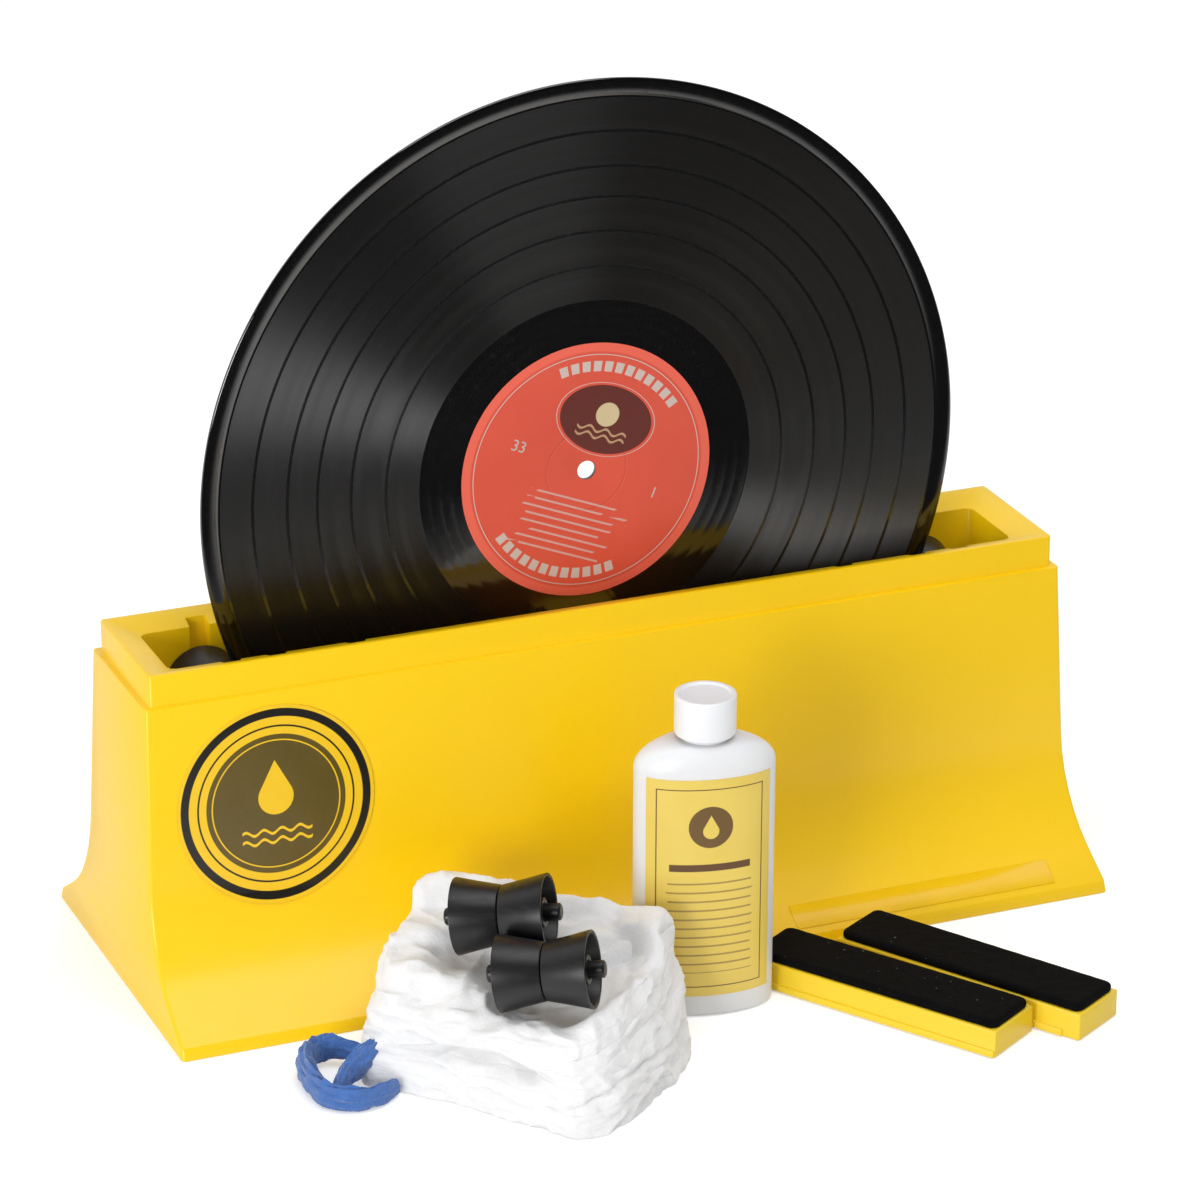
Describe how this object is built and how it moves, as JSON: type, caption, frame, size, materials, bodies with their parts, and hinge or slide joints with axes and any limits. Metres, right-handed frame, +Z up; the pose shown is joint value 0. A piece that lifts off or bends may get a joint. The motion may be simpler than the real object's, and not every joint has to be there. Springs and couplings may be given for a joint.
{
  "type": "manual record washer",
  "caption": "Hand-turned record washer: a record stands on grooved rollers between velvet brushes in a skirted trough, with spare rollers, spare brushes, a drying cloth and a bottle.",
  "frame": {"origin": "centre of the bottom of the whole set's box, on the table", "axes": "+X along the basin to its right end, +Y from the loose pieces in front to the back of the basin, +Z up"},
  "size_m": [0.3748, 0.2575, 0.326],
  "materials": {
    "basin_plastic": "satin moulded yellow",
    "badge_print": "printed round sticker",
    "clear_tape": "clear film, bare of print",
    "vinyl": "glossy, with fine grooves",
    "record_paper": "printed label paper",
    "roller_rubber": "satin black",
    "brush_plastic": "satin moulded yellow",
    "velvet": "black velvet pile",
    "bottle_plastic": "satin white",
    "bottle_paper": "yellow label",
    "liner_foam": "foam disc",
    "cap_plastic": "satin white",
    "white_cotton": "soft cotton",
    "blue_hem": "corded woven edge"
  },
  "bodies": {
    "basin": {"basin": "basin_plastic", "basin_badge": "badge_print", "basin_tape": "clear_tape"},
    "record": {"record_disc": "vinyl", "record_label_front": "record_paper", "record_label_back": "record_paper"},
    "left_roller": {"left_roller_axle": "roller_rubber", "left_roller_front_cone": "roller_rubber", "left_roller_back_cone": "roller_rubber"},
    "right_roller": {"right_roller_axle": "roller_rubber", "right_roller_front_cone": "roller_rubber", "right_roller_back_cone": "roller_rubber"},
    "front_brush": {"front_brush_bar": "brush_plastic", "front_brush_pad": "velvet"},
    "back_brush": {"back_brush_bar": "brush_plastic", "back_brush_pad": "velvet"},
    "cloth": {"drying_cloth": "white_cotton", "cloth_hem": "blue_hem"},
    "spare_roller_a": {"spare_roller_a_axle": "roller_rubber", "spare_roller_a_front_cone": "roller_rubber", "spare_roller_a_back_cone": "roller_rubber"},
    "spare_roller_b": {"spare_roller_b_axle": "roller_rubber", "spare_roller_b_front_cone": "roller_rubber", "spare_roller_b_back_cone": "roller_rubber"},
    "spare_brush_a": {"spare_brush_a_bar": "brush_plastic", "spare_brush_a_pad": "velvet"},
    "spare_brush_b": {"spare_brush_b_bar": "brush_plastic", "spare_brush_b_pad": "velvet"},
    "bottle_body": {"bottle": "bottle_plastic", "bottle_label": "bottle_paper"},
    "liner": {"cap_liner": "liner_foam"},
    "cap": {"bottle_cap": "cap_plastic"}
  },
  "joints": [
    {"name": "record_spin", "type": "hinge", "parent": "basin", "child": "record", "pos_m": [0, 0.05387, 0.1752], "axis": [0, 1, 0], "continuous": true},
    {"name": "left_roller_spin", "type": "hinge", "parent": "basin", "child": "left_roller", "pos_m": [-0.14657, 0.05387, 0.1065], "axis": [0, 1, 0], "continuous": true},
    {"name": "right_roller_spin", "type": "hinge", "parent": "basin", "child": "right_roller", "pos_m": [0.14657, 0.05387, 0.1065], "axis": [0, 1, 0], "continuous": true},
    {"name": "front_brush_lift", "type": "slide", "parent": "basin", "child": "front_brush", "axis": [0, 0, 1], "range_m": [0, 0.125]},
    {"name": "back_brush_lift", "type": "slide", "parent": "basin", "child": "back_brush", "axis": [0, 0, 1], "range_m": [0, 0.125]},
    {"name": "cloth_lift", "type": "slide", "parent": "basin", "child": "cloth", "axis": [0, 0, 1], "range_m": [0, 0.06]},
    {"name": "spare_roller_a_lift", "type": "slide", "parent": "cloth", "child": "spare_roller_a", "axis": [-0.2725, -0.4195, 0.8659], "range_m": [0, 0.05]},
    {"name": "spare_roller_b_lift", "type": "slide", "parent": "cloth", "child": "spare_roller_b", "axis": [0, 0, 1], "range_m": [0, 0.05]},
    {"name": "spare_brush_a_lift", "type": "slide", "parent": "basin", "child": "spare_brush_a", "axis": [0, 0, 1], "range_m": [0, 0.06]},
    {"name": "spare_brush_b_lift", "type": "slide", "parent": "basin", "child": "spare_brush_b", "axis": [0, 0, 1], "range_m": [0, 0.06]},
    {"name": "bottle_lift", "type": "slide", "parent": "basin", "child": "bottle_body", "axis": [0, 0, 1], "range_m": [0, 0.06]},
    {"name": "cap_rise", "type": "slide", "parent": "bottle_body", "child": "liner", "axis": [0, 0, 1], "range_m": [0, 0.0046]},
    {"name": "cap_turn", "type": "hinge", "parent": "liner", "child": "cap", "pos_m": [0.0056, -0.04603, 0.1088], "axis": [0, 0, 1], "range_deg": [0, 540]}
  ],
  "couplings": [
    {"joint": "left_roller_spin", "follows": "record_spin", "ratio": -14},
    {"joint": "right_roller_spin", "follows": "record_spin", "ratio": -14},
    {"joint": "cap_rise", "follows": "cap_turn", "m_per_rad": 0.00047746}
  ]
}
